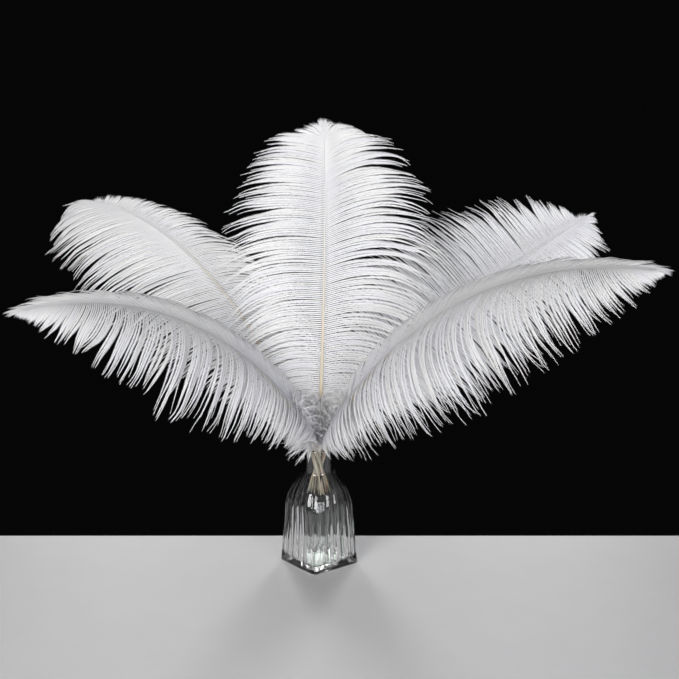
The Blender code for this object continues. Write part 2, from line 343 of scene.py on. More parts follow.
# %% What is said about each plume
@dataclass
class Vane:
    """One side of a plume. Triples are values at the root, the middle and the tip."""
    length: tuple  # barb length in mm at the root, at the longest and at the tip
    longest_at: float  # where along the vane the barbs are longest
    fall: float  # how late the barbs shorten towards the tip
    blunt: float  # how round the tip is, smaller is blunter
    angle: tuple  # degrees between a barb and the shaft where it leaves it
    rise: tuple  # degrees that it starts off towards the face of the plume
    droop: tuple  # how far it bends down under its own weight
    sweep: tuple = (0, 0, 0)  # how far its end swings towards the plume's tip
    droop_power: float = 1.5
    sweep_power: float = 1.2
    web: float = 0.5  # the share of a barb over which its ribbon nearly meets its neighbours
    over: bool = False  # its barbs start on the shaft's far side and hide it


@dataclass
class Plume:
    name: str
    heading: tuple  # degrees around the axis at the root and at the tip, 0 is +X
    lean: tuple  # degrees from upright at the root, the middle and the tip
    vane_length: float  # mm along the shaft
    facing: tuple  # the side that the face of the plume looks to
    left: Vane
    right: Vane
    painted_shade: float = 0.0  # how far up the plume, from its root, its barbs get painted lilac-grey shade
    painted_shade_everywhere: float = 0.0  # how much painted lilac-grey shade lies on all of its barbs
    loose: float = 1.0  # how far its barbs stray from their order
    barbs_from: float = 0.0  # where on the shaft the first barb stands, below 0 on the quill
    crossing_offset: float = CROSSING_OFFSET
    quill_end_lean: float = QUILL_END_LEAN


# %% The five plumes
FAR_SIDE = dict(length=(34, 50, 11), longest_at=0.5, fall=2.0, blunt=0.6, angle=(32, 48, 20),
                rise=(20, 15, 0), droop=(0.5, 1.05, 0.25))
NEAR_SIDE = dict(blunt=1.0, angle=(60, 125, 20), rise=(40, 20, 0), droop=(2.8, 7.0, 1.6), web=0.8,
                 over=True)

PLUMES = [
    Plume("centre", (68, 96), (5, 8, 8), 247, (0, -1, 0.15),
          left=Vane((30, 102, 14), 0.38, 2.6, 0.49, (78, 86, 70), (3, 2, 0), (3.4, 1.15, 0.5),
                    droop_power=1.6),
          right=Vane((30, 116, 14), 0.38, 2.6, 0.66, (78, 70, 50), (0, 1, 0), (3.0, 1.2, 1.0),
                     droop_power=1.4),
          loose=1.6, barbs_from=-0.03, crossing_offset=0, quill_end_lean=4),
    Plume("back_left", (146, 152), (30, 48, 82), 292, (0.1, -1, 0.35), loose=1.5,
          left=Vane((20, 108, 42), 0.58, 2.4, 0.5, (60, 62, 14), (0, 0, 0), (1.0, 0.9, 0.9)),
          right=Vane((8, 72, 6), 0.42, 2.0, 1.4, (80, 112, 95), (-10, -5, 0), (0.9, 1.2, 0.4))),
    Plume("back_right", (31, 23), (38, 62, 60), 307, (-0.1, -1, 0.35), painted_shade_everywhere=0.35, loose=1.8,
          left=Vane((8, 99, 4), 0.42, 2.6, 0.85, (75, 88, 85), (-10, -5, 0), (0.6, 0.7, 0.2)),
          right=Vane((20, 86, 15), 0.4, 2.4, 0.6, (70, 80, 57), (0, 0, 0), (0.5, 0.3, 0.5))),
    Plume("front_left", (215, 210), (31, 60, 98), 296, (0.3, -0.35, 1), painted_shade=0.5, loose=1.7,
          barbs_from=-0.06,
          left=Vane((32, 98, 5), longest_at=0.6, fall=1.1, sweep=(3.4, 5.0, 2.4), sweep_power=1.5,
                    **NEAR_SIDE),
          right=Vane(**FAR_SIDE)),
    Plume("front_right", (-30, -31), (28, 59, 92), 338, (-0.3, -0.35, 1), painted_shade=0.5, loose=1.9,
          barbs_from=-0.055,
          left=Vane(**FAR_SIDE),
          right=Vane((46, 116, 5), longest_at=0.58, fall=1.35, sweep=(2.6, 6.2, 3.0), sweep_power=2.0,
                     **NEAR_SIDE)),
]
print("plumes:", [plume.name for plume in PLUMES])


# %% Values along a line
NARROWEST_STEP = 1e-6  # a step without a width is a sudden one


def through(values, x):
    """The quadratic that passes through three values at x = 0, 0.5 and 1."""
    root, middle, tip = values
    return root * (1 - x) * (1 - 2 * x) + middle * 4 * x * (1 - x) + tip * x * (2 * x - 1)


def smooth_step(value, low, high):
    share = min(max((value - low) / max(high - low, NARROWEST_STEP), 0), 1)
    return share * share * (3 - 2 * share)


def unit(vectors):
    return vectors / np.linalg.norm(vectors, axis=-1, keepdims=True)


def turned(angle, first, second):
    """The direction at an angle from the first one towards the second."""
    return math.cos(angle) * first + math.sin(angle) * second


def row_at(position, positions, rows):
    """The row at a position, read from rows of three numbers at rising positions."""
    return np.array([np.interp(position, positions, rows[:, axis]) for axis in range(3)])


# %% The shaft's path
QUILL_STEPS = 40
SHAFT_STEPS = 160


class Shaft:
    """The plume's centre line. Position 0 is the first barb, 1 the tip, below 0 the quill."""

    def __init__(self, plume):
        self.vane_length = plume.vane_length * MM
        self.quill_end = -QUILL_LENGTH / self.vane_length
        self.positions = np.concatenate([np.linspace(self.quill_end, 0, QUILL_STEPS)[:-1],
                                         np.linspace(0, 1, SHAFT_STEPS)])
        along = np.clip(self.positions, 0, 1)
        up_the_quill = np.clip(1 - self.positions / self.quill_end, 0, 1)
        quill_lean = plume.quill_end_lean + (plume.lean[0] - plume.quill_end_lean) * up_the_quill ** 2
        lean = np.radians(np.where(self.positions < 0, quill_lean, through(plume.lean, along)))
        start, end = plume.heading
        heading = np.radians(start + (end - start) * along)
        self.tangents = np.stack([np.sin(lean) * np.cos(heading),
                                  np.sin(lean) * np.sin(heading), np.cos(lean)], axis=1)
        steps = np.diff(self.positions) * self.vane_length
        self.points = np.zeros_like(self.tangents)
        middles = (self.tangents[1:] + self.tangents[:-1]) / 2
        self.points[1:] = np.cumsum(middles * steps[:, None], axis=0)
        crossing = self.quill_end * (1 - CROSSING_SHARE)
        side = math.radians(plume.heading[0] + 90)
        offset = plume.crossing_offset
        target = np.array([math.cos(side) * offset, math.sin(side) * offset, CROSSING_HEIGHT])
        self.points += target - row_at(crossing, self.positions, self.points)

    def frame(self, position, facing):
        """Point, tangent, the direction the face looks to and the direction to the right."""
        point = row_at(position, self.positions, self.points)
        tangent = unit(row_at(position, self.positions, self.tangents))
        facing = unit(np.array(facing, float))
        face = unit(facing - (tangent @ facing) * tangent)
        return point, tangent, face, np.cross(tangent, face)

    def radius(self, position):
        if position < 0:
            share = 1 - position / self.quill_end
            return QUILL_END_RADIUS + (SHAFT_RADIUS - QUILL_END_RADIUS) * share ** 0.5
        return SHAFT_TIP_RADIUS + (SHAFT_RADIUS - SHAFT_TIP_RADIUS) * (1 - position) ** SHAFT_TAPER


def barb_length(vane, position):
    root, longest, tip = (value * MM for value in vane.length)
    if position < vane.longest_at:
        return root + (longest - root) * math.sin(position / vane.longest_at * math.pi / 2)
    past = (position - vane.longest_at) / (1 - vane.longest_at)
    return tip + (longest - tip) * (1 - past ** vane.fall) ** vane.blunt


print("lengths in mm:", {plume.name: round(QUILL_LENGTH / MM + plume.vane_length) for plume in PLUMES})

# %% [markdown]
# ## Seeds
# A seed is a single vertex where a barb leaves the shaft. It carries all that the barb needs as
# attributes: which way it sets off, how long it is, how it droops. Neighbouring barbs cling together in
# clumps that close up towards their ends, which gives a plume its dark gaps, so a seed also knows which
# barb is in the middle of its clump and how strongly it is drawn to it.

# %% A mesh of seeds
SCALARS = ("length", "droop", "droop_power", "sweep", "sweep_power", "web", "pull", "stray", "side",
           "tone", "shade")
VECTORS = ("start", "shaft_way", "face")
WHOLES = ("barb", "middle")
SPENT = ("sheet", "thick", "lane", "ahead", "reach")  # made inside the trees and needed only there
SEEN = ("tone", "shade")  # needed by the finishes too, so they stay on the finished mesh


def set_attribute(mesh, name, kind, values):
    """Gives every vertex its value of a named attribute."""
    field = "vector" if kind == "FLOAT_VECTOR" else "value"
    mesh.attributes.new(name, kind, "POINT").data.foreach_set(field, np.ravel(values))


def seed_mesh(name, seeds):
    """seeds is a list of dicts with a place and the values named above."""
    mesh = bpy.data.meshes.new(name)
    mesh.from_pydata([tuple(seed["place"]) for seed in seeds], [], [])
    for names, kind in ((SCALARS, "FLOAT"), (VECTORS, "FLOAT_VECTOR"), (WHOLES, "INT")):
        for key in names:
            set_attribute(mesh, key, kind, [seed[key] for seed in seeds])
    return new_object(name, mesh)


# %% Clumps of barbs
CLUMP_SIZES = (2, 8)
CLUMP_PULL = (0.05, 0.6)
CLUMP_POINT = 0.12  # how much shorter the outermost barbs of a clump are


def clumps(count, rng):
    """For each of count barbs: its clump's middle barb, how it is drawn to it and how long it stays."""
    middles, pulls, shares = [], [], []
    while len(middles) < count:
        size = int(rng.integers(*CLUMP_SIZES))
        middle = min(len(middles) + size // 2, count - 1)
        offsets = (np.arange(size) - size // 2) / max(size // 2, 1)
        middles += [middle] * size
        pulls += [rng.uniform(*CLUMP_PULL)] * size
        shares += list(1 - CLUMP_POINT * offsets ** 2)
    return middles[:count], pulls[:count], shares[:count]


# %% The fan of barbs round the tip
TIP_CLOSES_FROM = 0.98  # past this the barbs close up round the shaft's tip
TIP_ANGLE_SHARE = 0.08  # of their angle that is left at the very tip
SHORTEST_IN_FAN = 0.3  # of the length that they would have without it
TIP_BARBS = 10  # more of them on each side, to fill the fan that they make


def fan_length(shaft, vane, position, angle, closed):
    """The length of a barb that closes up round the tip: all of them reach about as far beyond it."""
    first_angle = math.radians(through(vane.angle, TIP_CLOSES_FROM))
    first_root = (1 - TIP_CLOSES_FROM) * shaft.vane_length
    first_reach = barb_length(vane, TIP_CLOSES_FROM) * math.cos(first_angle) - first_root
    reach = first_reach + (vane.length[2] * MM - first_reach) * closed
    length = (reach + (1 - position) * shaft.vane_length) / math.cos(angle)
    free_length = barb_length(vane, position)
    return min(max(length, SHORTEST_IN_FAN * free_length), free_length)


# %% The seeds of both vanes
BARB_SPACING = 1.5 * MM
CROWDING = 1.15  # above 1 the barbs stand closer towards the tip
ANGLE_SPREAD = math.radians(0.5)
RISE_SPREAD = math.radians(1.0)
LENGTH_SPREAD = 0.08
BEND_SPREAD = 0.01
STRAYS = 0.06  # share of the barbs whose ends leave their place
STRAY = 3.0  # how much further they wander
OVER_FORWARDS = 1.1  # of the shaft's radius, where the barbs that hide it start
OVER_ACROSS = 0.8


def vane_seeds(shaft, plume, vane, side, first, rng):
    count = int(shaft.vane_length / BARB_SPACING)
    positions = 1 - (1 - (np.arange(count) + 0.5) / count) ** CROWDING
    positions = np.sort(np.concatenate([positions, np.linspace(TIP_CLOSES_FROM, 1, TIP_BARBS)]))
    middles, pulls, shares = clumps(len(positions), rng)
    seeds = []
    for k, position in enumerate(positions):
        place, tangent, face, right = shaft.frame(plume.barbs_from + (1 - plume.barbs_from) * position,
                                                  plume.facing)
        stray = STRAY if rng.random() < STRAYS else 1.0
        closed = smooth_step(position, TIP_CLOSES_FROM, 1)
        angle = math.radians(through(vane.angle, position)) * (1 - (1 - TIP_ANGLE_SHARE) * closed)
        length = fan_length(shaft, vane, position, angle, closed) if closed else barb_length(vane, position)
        angle += rng.normal(0, ANGLE_SPREAD)
        rise = math.radians(through(vane.rise, position)) + rng.normal(0, RISE_SPREAD)
        outwards = turned(rise, side * right, face)
        bend = 1 + rng.normal(0, BEND_SPREAD)
        foot = face * OVER_FORWARDS - OVER_ACROSS * side * right if vane.over else outwards
        # shade marks where the finish paints lilac-grey shade: near the root of the front plumes, and a
        # little over all of the back-right one
        seeds.append(dict(
            place=place + foot * shaft.radius(position), side=side, face=face,
            start=turned(angle, tangent, outwards), shaft_way=tangent,
            length=length * shares[k] * (1 - abs(rng.normal(0, LENGTH_SPREAD))),
            droop=through(vane.droop, position) * bend, droop_power=vane.droop_power,
            sweep=through(vane.sweep, position) * bend, sweep_power=vane.sweep_power, web=vane.web,
            barb=first + k, middle=first + middles[k], pull=pulls[k] / stray, stray=stray, tone=rng.random(),
            shade=max(plume.painted_shade_everywhere, 1 - smooth_step(position, 0, plume.painted_shade))))
    return seeds


def plume_seeds(plume, shaft, rng):
    left = vane_seeds(shaft, plume, plume.left, -1, 0, rng)
    return left + vane_seeds(shaft, plume, plume.right, 1, len(left), rng)


# %% The seeds of the down
DOWN_COUNT = 420
DOWN_FROM = 107 * MM  # just above the vase's rim
DOWN_UP_TO = 0.09  # of the vane
DOWN_LENGTH = (10 * MM, 26 * MM)
DOWN_ANGLE = (25, 90)
DOWN_DROOP = (0.3, 2.0)
DOWN_DROOP_POWER = 1.2
DOWN_DEPTH = 0.6  # of the quill's radius, where its roots lie
DOWN_WEB = 0.01  # of its length, so its ribbon is thin from the start


def down_seeds(plume, shaft, rng):
    """Short curly barbs all round the quill, between the rim and the vane."""
    quill = slice(0, QUILL_STEPS)
    lowest = np.interp(DOWN_FROM, shaft.points[quill, 2], shaft.positions[quill])
    seeds = []
    for k in range(DOWN_COUNT):
        position = rng.uniform(lowest, DOWN_UP_TO)
        place, tangent, face, right = shaft.frame(position, plume.facing)
        outwards = turned(rng.uniform(0, 2 * math.pi), right, face)
        angle = math.radians(rng.uniform(*DOWN_ANGLE))
        seeds.append(dict(
            place=place + outwards * shaft.radius(position) * DOWN_DEPTH, side=1, face=outwards,
            start=turned(angle, tangent, outwards), shaft_way=tangent,
            length=rng.uniform(*DOWN_LENGTH), droop=rng.uniform(*DOWN_DROOP),
            droop_power=DOWN_DROOP_POWER, sweep=0.0, sweep_power=1.0, web=DOWN_WEB,
            barb=k, middle=k, pull=0.0, stray=1.0, tone=rng.random(), shade=0.0))
    return seeds


# %% [markdown]
# ## The tree that grows barbs
# Each seed is copied as often as a barb has points. A copy's number says how far along the barb it is,
# so a formula gives the direction there, and adding the directions up gives its place. The copies then
# become a curve. One branch makes the curve a thin ribbon, the barb itself. The other puts a pair of
# barbules on it every fraction of a millimetre, swept forward and folded back like a roof.


# %% A geometry tree with named inputs
MAP_NAME = "OFBake"  # the name of the texture map that the pieces carry


def geometry_tree(name, **kinds):
    """A new tree and its inputs by name. kinds lists the names of the inputs of each type."""
    tree = bpy.data.node_groups.new(name, "GeometryNodeTree")
    nodes = Nodes(tree)
    labels = [(label, kind) for kind, names in kinds.items() for label in names]
    for label, kind in labels:
        tree.interface.new_socket(name=label, in_out="INPUT", socket_type="NodeSocket" + kind)
    tree.interface.new_socket(name="Geometry", in_out="OUTPUT", socket_type="NodeSocketGeometry")
    group = tree.nodes.new("NodeGroupInput")
    return nodes, {label: Wire(nodes, group, label) for label, kind in labels}


def swept(nodes, curve, up, profile, scale, caps=False):
    """The profile drawn along a curve, turned so that the profile's x axis follows the attribute up."""
    curve = nodes.add("GeometryNodeSetCurveNormal", {"mode": "FREE"},
                      {"Curve": curve, "Normal": nodes.read(up, "FLOAT_VECTOR")})
    return nodes.add("GeometryNodeCurveToMesh", {}, {"Curve": curve, "Profile Curve": profile,
                                                     "Scale": scale, "Fill Caps": caps})


def end_tree(nodes, given, geometry, u, v):
    """Makes the geometry real and gives it its place in the texture map and its material."""
    real = nodes.add("GeometryNodeRealizeInstances", {}, {"Geometry": geometry})
    mapped = nodes.store(real, MAP_NAME, nodes.xyz(u, v), "FLOAT2", "CORNER")
    coated = nodes.add("GeometryNodeSetMaterial", {}, {"Geometry": mapped, "Material": given["Material"]})
    nodes.plug(coated, nodes.tree.nodes.new("NodeGroupOutput").inputs["Geometry"])
    return nodes.tree


# %% The line of a barb
DOWNWARDS = (0.0, 0.0, -1.0)
TURN_TO_FACE = 0.25  # how far a ribbon turns towards the plume's face


def barb_lines(nodes, given):
    """The seeds' copies, moved to where the barbs run, with the attributes along and sheet."""
    points = nodes.add("GeometryNodeMeshToPoints", {}, {"Mesh": given["Seeds"]})
    copies = nodes.add("GeometryNodeDuplicateElements", {"domain": "POINT"},
                       {"Geometry": points, "Amount": given["Steps"]})
    number = copies.out("Duplicate Index")
    along = number / (given["Steps"] - 1)
    start = nodes.read("start", "FLOAT_VECTOR")
    shaft_way = nodes.read("shaft_way", "FLOAT_VECTOR")
    sweep = nodes.read("sweep") * along ** nodes.read("sweep_power")
    droop = nodes.read("droop") * along ** nodes.read("droop_power")
    way = nodes.vector("NORMALIZE", start + shaft_way * sweep + droop * DOWNWARDS)
    stride = nodes.read("length") / (given["Steps"] - 1)
    step = way * stride
    barb = nodes.read("barb", "INT")
    walked = nodes.add("GeometryNodeAccumulateField", {"data_type": "FLOAT_VECTOR"},
                       {"Value": step, "Group ID": barb}, output="Trailing")
    half_step_on = (step - start * stride) * 0.5
    moved = nodes.move(copies, Position=nodes.here() + walked + half_step_on)
    normal = nodes.vector("CROSS_PRODUCT", way, shaft_way) * nodes.read("side")
    face = nodes.read("face", "FLOAT_VECTOR")
    marked = nodes.store(moved, "along", along)
    sheet = nodes.vector("NORMALIZE", normal + face * TURN_TO_FACE)
    return nodes.store(marked, "sheet", sheet, "FLOAT_VECTOR"), number


# %% Clumps and waves
LOOSE_POWER = 3.0  # both build up towards the barb's end
BARB_APART = 7.3  # takes each barb to its own place in the noise
SWAY_SIZE = 1.2  # of the size of a wave


def clump_and_wave(nodes, given, lines, number):
    """Draws each barb towards its clump's middle and gives it the waves of a loose thread."""
    along = nodes.read("along")
    here = nodes.here()
    partner = nodes.read("middle", "INT") * given["Steps"] + number
    there = nodes.add("GeometryNodeFieldAtIndex", {"data_type": "FLOAT_VECTOR"},
                      {"Value": here, "Index": partner})
    grown = along ** LOOSE_POWER
    lines = nodes.move(lines, Offset=(there - here) * (nodes.read("pull") * grown))
    reach = nodes.read("length") * along / given["Wave Size"]
    own, shared = (nodes.xyz(nodes.read(key) * BARB_APART, reach) for key in ("barb", "middle"))
    grown = grown * (nodes.read("length") / given["Wave Size"]).between(0.0, 1.0)
    for spot, height in ((own, given["Wave"] * 2 * nodes.read("stray")),
                         (shared + (0.0, 0.0, BARB_APART), given["Part"] * 2),
                         (here / (given["Wave Size"] * SWAY_SIZE), given["Sway"] * 2)):
        noise = nodes.noise(spot, 1.0, detail=1.0, output="Color")
        lines = nodes.move(lines, Offset=(noise - (0.5, 0.5, 0.5)) * (height * grown))
    return lines


# %% The ribbon along a barb
RIBBON_LANE = 0.1  # half the share of a barb's strip of the texture that its ribbon takes
WEB_WIDTH = 1.15 * MM  # of a ribbon that nearly meets its neighbours
RIBBON_TAPER = 0.7  # of its width is gone at the barb's end


def ribbons(nodes, given, curves):
    along = nodes.read("along")
    profile = nodes.add("GeometryNodeCurvePrimitiveLine", {},
                        {"Start": (0.0, -0.5, 0.0), "End": (0.0, 0.5, 0.0)})
    profile = nodes.add("GeometryNodeResampleCurve", {}, {"Curve": profile, "Count": 3})
    row = nodes.add("GeometryNodeInputIndex")
    profile = nodes.store(profile, "lane", row * RIBBON_LANE)
    from_crease = nodes.add("ShaderNodeMath", {"operation": "ABSOLUTE"}, {0: row - 1})
    # edge is also where the barbs' finish paints the shade between barbs
    profile = nodes.store(profile, "edge", from_crease)
    web = 1 - along.between(0, nodes.read("web"))
    width = given["Ribbon Width"] * (1 - along * RIBBON_TAPER) + web * (WEB_WIDTH - given["Ribbon Width"])
    return swept(nodes, curves, "sheet", profile, width)


# %% The barbules along a barb
BARBULE_AT_SHAFT = 0.65  # of their length, next to the shaft, where the ribbon is wide
THINNING_FROM = 0.5  # of the barb, where they begin to shorten
BARBULE_AT_END = 0.32
BARBULES_VARY = (0.85, 1.15)
FRINGE_DEPTH = (0.9, 0.2)  # their share of the given length on any barb, and what its tone adds


def barbules(nodes, given, curves):
    smooth = nodes.add("GeometryNodeCurveSplineType", {"spline_type": "CATMULL_ROM"}, {"Curve": curves})
    beads = nodes.add("GeometryNodeResampleCurve", {"mode": "LENGTH"},
                      {"Curve": smooth, "Length": given["Barbule Spacing"]})
    along = nodes.read("along")
    near = 1 - along.between(0, nodes.read("web"))
    profile = 1 - along.between(THINNING_FROM, 1) * (1 - BARBULE_AT_END) - near * (1 - BARBULE_AT_SHAFT)
    vary = nodes.random(*BARBULES_VARY, given["Seed"])
    roll = nodes.random(given["Roll"] * -1, given["Roll"], given["Seed"] + 1)
    turn = nodes.add("FunctionNodeAxesToRotation", {"primary_axis": "X", "secondary_axis": "Z"},
                     {"Primary Axis": nodes.add("GeometryNodeInputTangent"),
                      "Secondary Axis": nodes.read("sheet", "FLOAT_VECTOR")})
    twist = nodes.add("FunctionNodeAxisAngleToRotation", {}, {"Axis": (1.0, 0.0, 0.0), "Angle": roll})
    turn = nodes.add("FunctionNodeRotateRotation", {"rotation_space": "LOCAL"},
                     {"Rotation": turn, "Rotate By": twist})
    pair = nodes.add("GeometryNodeObjectInfo", {}, {"Object": given["Barbule Pair"]}, output="Geometry")
    fringe = FRINGE_DEPTH[0] + nodes.read("tone") * FRINGE_DEPTH[1]
    size = given["Barbule Length"] * profile * vary * fringe
    beads = nodes.store(beads, "reach", size / nodes.read("length"))
    return nodes.add("GeometryNodeInstanceOnPoints", {}, {
        "Points": beads, "Instance": pair, "Rotation": turn, "Scale": nodes.xyz(size, size, size)})


# %% The whole tree
STRIP_START = 0.02  # where a barb's root lies in its strip of the texture map
STRIP_SHARE = 0.9  # of the strip's length that the barb takes


def strand_tree():
    nodes, given = geometry_tree(
        "strands", Geometry=["Seeds"], Int=["Steps", "Seed"], Object=["Barbule Pair"], Material=["Material"],
        Float=["Ribbon Width", "Barbule Spacing", "Barbule Length", "Roll", "Wave", "Wave Size", "Part",
               "Sway", "UV Start", "UV Width"])
    lines, number = barb_lines(nodes, given)
    lines = clump_and_wave(nodes, given, lines, number)
    curves = nodes.add("GeometryNodePointsToCurves", {},
                       {"Points": lines, "Curve Group ID": nodes.read("barb", "INT"), "Weight": number})
    together = nodes.add("GeometryNodeJoinGeometry")
    nodes.plug(ribbons(nodes, given, curves), together.node.inputs["Geometry"])
    nodes.plug(barbules(nodes, given, curves), together.node.inputs["Geometry"])
    strip = nodes.read("barb", "INT") + nodes.read("lane")
    up_the_strip = nodes.read("along") * STRIP_SHARE + STRIP_START + nodes.read("ahead") * nodes.read("reach")
    return end_tree(nodes, given, together, given["UV Start"] + strip * given["UV Width"], up_the_strip)


STRANDS = strand_tree()
print("strands tree:", len(STRANDS.nodes), "nodes")

# %% [markdown]
# ## A pair of barbules
# One barbule is a single long triangle with its root on the barb and its point swept towards the barb's
# end. Two of them, one to each side and both folded back, are the shape that the tree repeats.

# %% The pair
BARBULE_SWEEP = math.radians(15)
BARBULE_FOLD = math.radians(30)
BARBULE_ROOT = 0.08  # half the width at its root, as a share of its length
PAIR_LANES = (0.6, 0.6, 0.25, 0.95)  # roots and tips across a barb's strip of the texture


def barbule_pair():
    mesh = bpy.data.meshes.new("barbule_pair")
    across = math.sin(BARBULE_SWEEP) * math.cos(BARBULE_FOLD)
    back = math.sin(BARBULE_SWEEP) * math.sin(BARBULE_FOLD)
    points = [(-BARBULE_ROOT, 0, 0), (BARBULE_ROOT, 0, 0)]
    points += [(math.cos(BARBULE_SWEEP), side * across, -back) for side in (-1, 1)]
    mesh.from_pydata(points, [], [(0, 1, 2), (1, 0, 3)])
    # edge brings on the painted shade at the barbules' tips in the barbs' finish
    set_attribute(mesh, "edge", "FLOAT", (0.0, 0.0, 1.0, 1.0))
    set_attribute(mesh, "lane", "FLOAT", PAIR_LANES)
    set_attribute(mesh, "ahead", "FLOAT", [point[0] for point in points])
    return new_object("barbule_pair", mesh)


PAIR = barbule_pair()
print("barbule pair:", len(PAIR.data.polygons), "triangles")

# %% [markdown]
# ## The shaft
# The quill and shaft are one closed tube along the plume's centre line, with a shallow groove along the
# face. A mesh line carries its radius and the way its face looks, and a short tree turns the line into
# the tube.

# %% The shaft's tree
SHAFT_SIDES = 12
GROOVE = 0.4  # its depth, as a share of the shaft's radius
GROOVE_WIDTH = (0.0, 0.5)  # across the face, squared, from its bottom to its edge
GROOVE_SIDES = (0.0, 0.6)  # from the shaft's middle to its face
SHAFT_MAP = (0.955, 0.04)  # where its strip of the texture begins and how wide it is
VANE_MAP = (0.0, 0.85)
DOWN_MAP = (0.86, 0.09)


def shaft_tree():
    nodes, given = geometry_tree("shaft", Geometry=["Line"], Int=["Sides"], Float=["Groove"],
                                 Material=["Material"])
    curve = nodes.add("GeometryNodeMeshToCurve", {}, {"Mesh": given["Line"]})
    circle = nodes.add("GeometryNodeCurvePrimitiveCircle", {}, {"Resolution": given["Sides"], "Radius": 1.0})
    place = nodes.add("ShaderNodeSeparateXYZ", {}, {"Vector": nodes.here()})
    x, y = place.out("X"), place.out("Y")
    middle = 1 - (y ** 2).between(*GROOVE_WIDTH)
    pressed = x - x.between(*GROOVE_SIDES) * middle * given["Groove"]
    profile = nodes.move(nodes.store(circle, "lane", x * 0.5 + 0.5), Position=nodes.xyz(pressed, y))
    tube = swept(nodes, curve, "face", profile, nodes.read("thick"), caps=True)
    across = nodes.read("lane") * SHAFT_MAP[1] + SHAFT_MAP[0]
    return end_tree(nodes, given, tube, across, nodes.read("place"))


SHAFT_TREE = shaft_tree()
print("shaft tree:", len(SHAFT_TREE.nodes), "nodes")

# %% The shaft's line
SHAFT_RINGS = 90
ROUNDED_END = 2 * MM  # over which the quill's lower end closes
TIP_END = 1 * MM
END_RINGS = np.array([0, 0.15, 0.4, 0.7, 1])  # how far along a rounded end its rings stand
SMALLEST_END = 0.0004  # so that the last ring keeps its shape


def closing(shaft, position):
    """1 along the shaft, falling to nearly nothing at both of its ends."""
    from_end = (position - shaft.quill_end) * shaft.vane_length / ROUNDED_END
    from_tip = (1 - position) * shaft.vane_length / TIP_END
    return min(max(min(from_end, from_tip), SMALLEST_END), 1) ** 0.5


def shaft_line(plume, shaft):
    positions = np.concatenate([
        shaft.quill_end + END_RINGS * ROUNDED_END / shaft.vane_length,
        np.linspace(shaft.quill_end, 1, SHAFT_RINGS)[2:-1],
        1 - END_RINGS[::-1] * TIP_END / shaft.vane_length])
    rows = [shaft.frame(position, plume.facing) for position in positions]
    mesh = bpy.data.meshes.new("shaft_line")
    mesh.from_pydata([tuple(row[0]) for row in rows], [(k, k + 1) for k in range(len(rows) - 1)], [])
    set_attribute(mesh, "face", "FLOAT_VECTOR", [row[2] for row in rows])
    set_attribute(mesh, "thick", "FLOAT", [shaft.radius(x) * closing(shaft, x) for x in positions])
    set_attribute(mesh, "place", "FLOAT", (positions - positions[0]) / (1 - positions[0]))
    return new_object("shaft_line", mesh)


# %% [markdown]
# ## From a tree to a plain mesh
# A modifier runs the tree on the seeds. Its inputs are set by their sockets' identifiers before it is
# first evaluated, and the result is then copied into a plain mesh, so that nothing of the tree is left
# on the finished piece.

# %% Run a tree
def grown(source, tree, values):
    modifier = source.modifiers.new(tree.name, "NODES")
    modifier.node_group = tree
    for socket in tree.interface.items_tree:
        if socket.in_out == "INPUT" and socket.name in values:
            modifier[socket.identifier] = values[socket.name]
    depsgraph = bpy.context.evaluated_depsgraph_get()
    mesh = bpy.data.meshes.new_from_object(source.evaluated_get(depsgraph))
    bpy.data.objects.remove(source)
    for name in SCALARS + VECTORS + WHOLES + SPENT:
        if name in mesh.attributes and name not in SEEN:
            mesh.attributes.remove(mesh.attributes[name])
    return mesh


def joined(name, meshes):
    """One object at the origin from several meshes."""
    parts = [new_object(name, mesh) for mesh in meshes]
    with bpy.context.temp_override(active_object=parts[0], object=parts[0],
                                   selected_objects=parts, selected_editable_objects=parts):
        bpy.ops.object.join()
    return parts[0]


def triangle_count(mesh):
    return sum(len(polygon.vertices) - 2 for polygon in mesh.polygons)


# %% Grow the plumes
TRIANGLES_PER_PLUME = 185_000
FIRST_SEED = 11
STEPS = 19  # points along a barb
SWAY = 3.0 * MM  # how far neighbouring barbs bend together
VANE_LOOK = {"Ribbon Width": 0.4 * MM, "Barbule Length": 6.3 * MM, "Roll": 0.2, "Wave Size": 45 * MM}
LOOSENESS = {"Wave": 2.0 * MM, "Part": 3.6 * MM}  # how far a barb and a whole clump stray at their ends
DOWN_LOOK = {"Ribbon Width": 0.25 * MM, "Barbule Length": 4.5 * MM, "Roll": 1.5, "Wave Size": 9 * MM,
             "Barbule Spacing": 0.6 * MM, "Wave": 2.5 * MM, "Part": 3.0 * MM}


